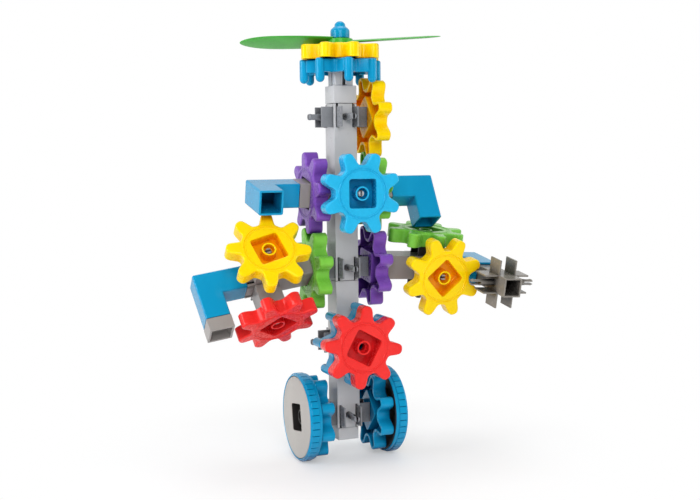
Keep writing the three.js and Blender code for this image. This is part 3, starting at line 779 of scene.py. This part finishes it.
# Crown gears: a scalloped ring with eight round-ended fingers that mesh with the teeth of a
# side gear. One is on top under the yellow gear, the other behind the red front gear. A square
# key on its plate enters the hollow back of the gear before it.
crown_height = 0.0165
crown_reach = 0.0289
finger_radius = 0.0031
crown_tip = 0.0264
crown_root = 0.0195
crown_bluntness = 0.5
crown_wall = 0.0024
crown_ring_height = 0.0094
crown_plate = 0.002
crown_round = 0.0014
crown_hub_radius = 0.0055
crown_hub_rise = 0.00655
key_wall = 0.0013
key_height = 0.004
finger_arc_steps = 6
finger_steps = 24
key_inner = socket_half + fit
key_outer = key_inner + key_wall
key_top = crown_height + key_height
ring_low = crown_height - crown_ring_height
plate_low = crown_height - crown_plate
hub_low = crown_height - crown_hub_rise
crown_stations = [
    (CIRCLE, bore_radius, crown_height - edge_round),
    (CIRCLE, bore_radius + edge_round, crown_height),
    (SQUARE, key_inner - edge_round, crown_height),
    (SQUARE, key_inner, crown_height + edge_round),
    (SQUARE, key_inner, key_top - edge_round),
    (SQUARE, key_inner + edge_round, key_top),
    (SQUARE, key_outer - edge_round, key_top),
    (SQUARE, key_outer, key_top - edge_round),
    (SQUARE, key_outer, crown_height + edge_round),
    (SQUARE, key_outer + edge_round, crown_height),
    *rounded_rim(crown_height, crown_round),
    (TEETH, 0.0, ring_low + 2 * edge_round),
    (TEETH, 2 * edge_round, ring_low),
    (TEETH, crown_wall - edge_round, ring_low),
    (TEETH, crown_wall, ring_low + edge_round),
    (TEETH, crown_wall, plate_low - 2 * edge_round),
    (TEETH, crown_wall + 2 * edge_round, plate_low),
    (CIRCLE, crown_hub_radius + edge_round, plate_low),
    (CIRCLE, crown_hub_radius, plate_low - edge_round),
    (CIRCLE, crown_hub_radius, hub_low + edge_round),
    (CIRCLE, crown_hub_radius - edge_round, hub_low),
    (CIRCLE, bore_radius + edge_round, hub_low),
    (CIRCLE, bore_radius, hub_low + edge_round),
]
crown_tree = outline_tree("crown_ring", crown_stations)
finger_profile = [(0, 0)]
for step in range(1, finger_arc_steps + 1):
    bow = step / finger_arc_steps * math.pi / 2
    finger_profile.append((finger_radius * math.sin(bow), finger_radius * (1 - math.cos(bow))))
for step in range(finger_arc_steps + 1):
    bow = step / finger_arc_steps * math.pi / 2
    finger_profile.append((finger_radius - crown_round * (1 - math.cos(bow)),
                           crown_height - crown_round * (1 - math.sin(bow))))
finger_profile.append((0, crown_height))
finger = turned(finger_profile, finger_steps)
finger.transform(Matrix.Translation((crown_reach - finger_radius, 0, 0)))


def crown_mesh(key_degrees):
    """Crown gear whose square key is turned by these degrees from a finger."""
    ring = outlined(crown_tree, "crown", {
        "Tip": crown_tip, "Root": crown_root, "Bias": 0.0, "Bluntness": crown_bluntness,
        "Square turn": math.radians(key_degrees), "Plastic": plastics["deep_blue"],
    })
    return smooth_finish(circled(ring, finger, gear_teeth, plastics["deep_blue"]))


top_crown_back = Vector((0, 0, top_stack_rise - crown_height))
top_crown_place = stack_place @ facing(top_crown_back, up, right, -train_turn)
stands_for("top_crown_gear", crown_mesh(train_turn - half_tooth), top_crown_place)
front_crown_back = post_gear_back - fit - crown_height
front_crown_place = on_column("d", front, lower_front_turn, front_crown_back)
stands_for("front_crown_gear", crown_mesh(half_tooth), front_crown_place)

# Propeller: two thin blades on a round hub, moulded in one in leaf green, with a square plug
# in the top gear's pocket. The left blade is pitched steeper, and the right one bends up.
propeller_span = 0.140
propeller_chord = 0.022
propeller_root_chord = 0.011
propeller_thickness = 0.0022
propeller_tip_thickness = 0.0016
propeller_hub_radius = 0.009
propeller_hub_height = 0.0042
propeller_plug_depth = 0.007
left_blade_pitch = math.radians(18.0)
right_blade_pitch = math.radians(6.0)
right_blade_rise = 0.003
propeller_turn = -22.5
propeller_hub_steps = 64
blade_stations = 40
blade_around = 24
blade_crowding = 1.6
swell_start_share = 0.18
swell_span_share = 0.62
tip_start_share = 0.62
tip_fullness = 2.4
tip_least_share = 0.15
blade_section_power = 0.8
nose_stem_radius = 0.0027
stem_hole_steps = 32
plastics["leaf_green"] = moulded_plastic("leaf_green_plastic", 0x3FA834, 0x4BB23E, 0.28)
seat = top_stack_rise + fit + gear_thickness + fit
hub_high = seat + propeller_hub_height


def blade_mesh(pitch, rise):
    """One blade along +X: a flat round section that broadens, rises and ends in a round tip."""
    start = propeller_hub_radius / 2
    middle = (seat + hub_high) / 2
    shape = bmesh.new()
    rings = []
    for station in range(blade_stations + 1):
        along = 1 - (1 - station / blade_stations) ** blade_crowding
        reach = start + (propeller_span / 2 - start) * along
        height = middle + rise * along
        swell = math.sin(math.pi * (swell_start_share + swell_span_share * along))
        past = max(0.0, (along - tip_start_share) / (1 - tip_start_share))
        tip = math.sqrt(max(0.0, 1 - past ** tip_fullness))
        chord = (propeller_root_chord + (propeller_chord - propeller_root_chord) * swell) * tip
        thick = propeller_thickness + (propeller_tip_thickness - propeller_thickness) * along
        thick = thick * min(1.0, tip_least_share + tip)
        ring = []
        for step in range(blade_around):
            angle = step / blade_around * math.tau
            sine = math.sin(angle)
            across = chord / 2 * math.cos(angle)
            lift = thick / 2 * math.copysign(abs(sine) ** blade_section_power, sine)
            ring.append(shape.verts.new((reach, across * math.cos(pitch) - lift * math.sin(pitch),
                                         height + across * math.sin(pitch) + lift * math.cos(pitch))))
        rings.append(ring)
    for near, far in zip(rings, rings[1:]):
        for step in range(blade_around):
            ahead = (step + 1) % blade_around
            shape.faces.new((near[step], near[ahead], far[ahead], far[step]))
    shape.faces.new(rings[0])
    shape.faces.new(rings[-1])
    bmesh.ops.remove_doubles(shape, verts=shape.verts, dist=weld)
    bmesh.ops.recalc_face_normals(shape, faces=shape.faces)
    return mesh_of(shape, "blade")


hub_profile = [(0, seat), (propeller_hub_radius - edge_round, seat),
               (propeller_hub_radius, seat + edge_round),
               (propeller_hub_radius, hub_high - 3 * edge_round),
               (propeller_hub_radius - edge_round, hub_high - edge_round),
               (propeller_hub_radius - 3 * edge_round, hub_high), (0, hub_high)]
plug = square_tube(tube_side, tube_bore, seat - propeller_plug_depth, seat + fit,
                   core_corner, core_edge)
left_blade = blade_mesh(left_blade_pitch, 0.0)
left_blade.transform(Matrix.Rotation(math.pi, 4, "Z"))
propeller_body = turned(hub_profile, propeller_hub_steps)
for joined_mesh in (left_blade, blade_mesh(right_blade_pitch, right_blade_rise), plug):
    propeller_body = circled(propeller_body, joined_mesh, 1, plastics["leaf_green"])
stem_hole = turned([(0, seat - overrun), (nose_stem_radius + fit, seat - overrun),
                    (nose_stem_radius + fit, hub_high + overrun), (0, hub_high + overrun)],
                   stem_hole_steps)
propeller_place = stack_place @ Matrix.Rotation(math.radians(propeller_turn), 4, "Z")
stands_for("propeller", smooth_finish(cut_from(propeller_body, stem_hole)), propeller_place)

# Nose: a cyan-blue cap that holds the propeller down, a round drum under a small dome. It is
# moulded in one with the short stem that plugs into the propeller's hub.
nose_radius = 0.0067
nose_height = 0.0118
nose_cap_radius = 0.0038
nose_side_share = 0.32
nose_shoulder_share = 0.4
nose_droop = 1.9
nose_stem_length = 0.003
nose_arc_steps = 10
nose_steps = 48
nose_base = hub_high + fit
nose_top = nose_base + nose_height
nose_cap_height = nose_height * (1 - nose_side_share - nose_shoulder_share)
nose_profile = [(0, nose_base - nose_stem_length), (nose_stem_radius, nose_base - nose_stem_length),
                (nose_stem_radius, nose_base), (nose_radius - edge_round, nose_base),
                (nose_radius, nose_base + edge_round)]
for step in range(nose_arc_steps + 1):
    past = step / nose_arc_steps
    swell = (1 + math.cos(math.pi * past ** nose_droop)) / 2
    nose_profile.append((nose_cap_radius + (nose_radius - nose_cap_radius) * swell,
                         nose_base + nose_height * (nose_side_share + nose_shoulder_share * past)))
for step in range(1, nose_arc_steps):
    bow = step / nose_arc_steps * math.pi / 2
    nose_profile.append((nose_cap_radius * math.cos(bow),
                         nose_top - nose_cap_height * (1 - math.sin(bow))))
nose_profile.append((0, nose_top))
stands_for("propeller_nose", smooth_finish(turned(nose_profile, nose_steps)), stack_place)

# Wheels: a grey moulded disc with a square pocket and a ring in it, which plugs into the blue
# gear, and a blue tyre round it whose forty tread blocks stand above a lower inner band.
wheel_radius = 0.031
wheel_width = 0.0087
disc_radius = 0.0287
disc_thickness = 0.003
disc_rim_wall = 0.0018
wheel_pocket_half = 0.0095
wheel_pocket_wall = 0.0016
wheel_ring_radius = 0.0055
wheel_ring_wall = 0.0015
wheel_plug_depth = 0.0045
tread_blocks = 40
tread_depth = 0.0007
tread_fill = 0.93
band_width = 0.0022
tyre_shoulder = 0.0012
tyre_lip = 0.0007
wheel_edge = 0.0004
disc_centre_hole = 0.0005
tyre_steps = 160
left_pocket_turn = 9.0
right_pocket_turn = 34.5
plastics["wheel_grey"] = moulded_plastic("wheel_grey_plastic", 0xA9A6A2, 0xB0ADA8, 0.5)

disc_ceiling = wheel_width - disc_thickness
disc_inner = disc_radius - disc_rim_wall
boss_half = wheel_pocket_half + wheel_pocket_wall
wheel_ring_bore = wheel_ring_radius - wheel_ring_wall
disc_stations = [
    (CIRCLE, disc_centre_hole, wheel_pocket_wall),
    (CIRCLE, wheel_ring_bore, wheel_pocket_wall),
    (CIRCLE, wheel_ring_bore, disc_ceiling - edge_round),
    (CIRCLE, wheel_ring_bore + edge_round, disc_ceiling),
    (CIRCLE, wheel_ring_radius - edge_round, disc_ceiling),
    (CIRCLE, wheel_ring_radius, disc_ceiling - edge_round),
    (CIRCLE, wheel_ring_radius, wheel_pocket_wall),
    (SQUARE, wheel_pocket_half, wheel_pocket_wall),
    (SQUARE, wheel_pocket_half, wheel_width - edge_round),
    (SQUARE, wheel_pocket_half + edge_round, wheel_width),
    (CIRCLE, disc_radius - wheel_edge, wheel_width),
    (CIRCLE, disc_radius, wheel_width - wheel_edge),
    (CIRCLE, disc_radius, edge_round),
    (CIRCLE, disc_radius - edge_round, 0.0),
    (CIRCLE, disc_inner, 0.0),
    (CIRCLE, disc_inner, disc_ceiling),
    (SQUARE, boss_half, disc_ceiling),
    (SQUARE, boss_half, 0.0),
    (CIRCLE, disc_centre_hole, 0.0),
]
disc_tree = outline_tree("wheel_disc", disc_stations)
wheel_plug = square_tube(tube_side, tube_bore, -wheel_plug_depth, fit, core_corner, core_edge)


def disc_mesh(pocket_degrees):
    """Wheel disc whose pocket is turned by these degrees from its plug."""
    disc = outlined(disc_tree, "disc", {
        "Square turn": math.radians(pocket_degrees), "Plastic": plastics["wheel_grey"],
    })
    return smooth_finish(circled(disc, wheel_plug, 1, plastics["wheel_grey"]))


# The wheel's pocket is dark inside, and so is all that lies behind the disc's face.
wheel_back = gear_back + gear_thickness + fit
pocket_shade = 0x2A2827
grey_tree = plastics["wheel_grey"].node_tree
grey_colour = grey_tree.nodes["Principled BSDF"].inputs["Base Color"]
face_colour = grey_colour.links[0].from_socket
grey_spot = tree_node(grey_tree, "ShaderNodeTexCoord")
grey_way = tree_node(grey_tree, "ShaderNodeSeparateXYZ", grey_spot.outputs["Object"])
grey_out = tree_node(grey_tree, "ShaderNodeMath", grey_way.outputs["X"], operation="ABSOLUTE")
grey_depth = tree_node(grey_tree, "ShaderNodeMapRange", grey_out.outputs[0],
                       wheel_back + wheel_width - 2 * edge_round,
                       wheel_back + wheel_width - edge_round / 2)
grey_mix = tree_node(grey_tree, "ShaderNodeMix", data_type="RGBA", named={
    "Factor": grey_depth.outputs["Result"], "A": linear_colour(pocket_shade), "B": face_colour,
})
grey_tree.links.new(grey_mix.outputs["Result"], grey_colour)

groove_radius = wheel_radius - tread_depth
tyre_inner = disc_radius + fit
shoulder_top = wheel_width - tyre_shoulder
tyre_rings = [(tyre_inner, wheel_edge), (tyre_inner + wheel_edge, 0), (groove_radius - wheel_edge, 0),
              (groove_radius, wheel_edge), (groove_radius, shoulder_top),
              (tyre_inner + tyre_lip, wheel_width), (tyre_inner + edge_round, wheel_width),
              (tyre_inner, wheel_width - edge_round)]
tyre = skin_through([round_ring(radius, height, tyre_steps) for radius, height in tyre_rings])
block_pitch = math.tau * wheel_radius / tread_blocks
block_width = shoulder_top - band_width
block_mesh = soft_box((2 * tread_depth, block_pitch * tread_fill, block_width),
                      (groove_radius, 0, shoulder_top - block_width / 2), wheel_edge)
tyre_shape = smooth_finish(circled(tyre, block_mesh, tread_blocks, plastics["deep_blue"]))

for side, axis, pocket_turn in (("left", left, left_pocket_turn), ("right", right, right_pocket_turn)):
    disc_shape = disc_mesh(pocket_turn - 2 * half_tooth)
    stands_for(f"wheel_disc_{side}", disc_shape, on_column("e", axis, 2 * half_tooth, wheel_back))
    stands_for(f"tyre_{side}", tyre_shape, on_column("e", axis, 0.0, wheel_back))

# Studio: a white floor that keeps the toy's soft shadow and fades into a white surround. A
# broad lamp stands in front, with weaker ones at the left, at the right and over the toy, and
# the sky is brighter behind the toy than before it.
floor_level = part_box("tyre_left")[0].z
floor_size = 4.0
floor_colour = (0.93, 0.93, 0.935, 1)
floor_roughness = 0.6
white = (1, 1, 1, 1)
shadow_reach = 0.08
shadow_fade = 0.22
least_glow = 0.35
sky_front, sky_back = -0.6, 0.5
sky_front_strength, sky_back_strength = 0.2, 0.8
toy_middle = Vector((0, 0, 0.14))
bpy.ops.mesh.primitive_plane_add(size=floor_size, location=(0, 0, floor_level))
floor = bpy.context.object
floor.name = "studio_floor"
floor_look = bpy.data.materials.new("studio_floor")
floor_look.use_nodes = True
floor_tree = floor_look.node_tree
floor_shader = floor_tree.nodes["Principled BSDF"]
fill_named(floor_tree, floor_shader, {"Base Color": floor_colour, "Roughness": floor_roughness})
floor_spot = tree_node(floor_tree, "ShaderNodeTexCoord")
floor_far = tree_node(floor_tree, "ShaderNodeVectorMath", floor_spot.outputs["Object"],
                      operation="LENGTH")
fade = tree_node(floor_tree, "ShaderNodeMapRange", floor_far.outputs["Value"], shadow_reach,
                 shadow_fade, least_glow, interpolation_type="SMOOTHSTEP")
seen = tree_node(floor_tree, "ShaderNodeLightPath")
glow = tree_node(floor_tree, "ShaderNodeEmission", white, 1.0)
glow_share = tree_node(floor_tree, "ShaderNodeMath", fade.outputs["Result"],
                       seen.outputs["Is Camera Ray"], operation="MULTIPLY")
floor_blend = tree_node(floor_tree, "ShaderNodeMixShader", glow_share.outputs[0],
                        floor_shader.outputs[0], glow.outputs[0])
floor_out = floor_tree.nodes["Material Output"].inputs["Surface"]
floor_tree.links.new(floor_blend.outputs[0], floor_out)
floor.data.materials.append(floor_look)


def soft_lamp(name, place, side, watts):
    """Square soft lamp at a place, turned towards the toy's middle."""
    lamp = bpy.data.lights.new(name, "AREA")
    lamp.shape = "SQUARE"
    lamp.size = side
    lamp.energy = watts
    holder = shown(name, lamp)
    holder.location = place
    holder.rotation_euler = (toy_middle - Vector(place)).to_track_quat("-Z", "Y").to_euler()


soft_lamp("key_lamp", place=(-0.35, -1.0, 0.7), side=0.7, watts=7.5)
soft_lamp("left_lamp", place=(-1.1, -0.1, 0.5), side=0.5, watts=5.0)
soft_lamp("right_lamp", place=(0.95, -0.45, 0.45), side=0.5, watts=2.5)
soft_lamp("top_lamp", place=(0.1, 0.1, 1.2), side=0.6, watts=2.5)

surround = bpy.data.worlds.new("studio_surround")
surround.use_nodes = True
bpy.context.scene.world = surround
sky_tree = surround.node_tree
sky = sky_tree.nodes["Background"]
sky_spot = tree_node(sky_tree, "ShaderNodeTexCoord")
sky_way = tree_node(sky_tree, "ShaderNodeSeparateXYZ", sky_spot.outputs["Generated"])
sky_depth = tree_node(sky_tree, "ShaderNodeMapRange", sky_way.outputs["Y"], sky_front, sky_back,
                      sky_front_strength, sky_back_strength, interpolation_type="SMOOTHSTEP")
sky_seen = tree_node(sky_tree, "ShaderNodeLightPath")
sky_strength = tree_node(sky_tree, "ShaderNodeMath", sky_depth.outputs["Result"],
                         sky_seen.outputs["Is Camera Ray"], operation="MAXIMUM")
fill_named(sky_tree, sky, {"Color": white, "Strength": sky_strength.outputs[0]})

# Camera: a little above the middle of the toy, in front and to its left. Its place, angles and
# lens were solved from points marked in the photograph.
camera_place = (-0.2805, -0.7095, 0.1984)
camera_yaw = math.radians(-21.97)
camera_dip = 4.78
camera_pitch = math.radians(90 - camera_dip)
camera_roll = math.radians(-0.64)
camera_lens = 55.62
camera = shown("camera", bpy.data.cameras.new("camera"))
camera.data.lens = camera_lens
camera.matrix_world = (Matrix.Translation(camera_place) @ Matrix.Rotation(camera_yaw, 4, "Z")
                       @ Matrix.Rotation(camera_pitch, 4, "X") @ Matrix.Rotation(camera_roll, 4, "Z"))
bpy.context.scene.camera = camera
bpy.context.scene.view_settings.view_transform = "Standard"
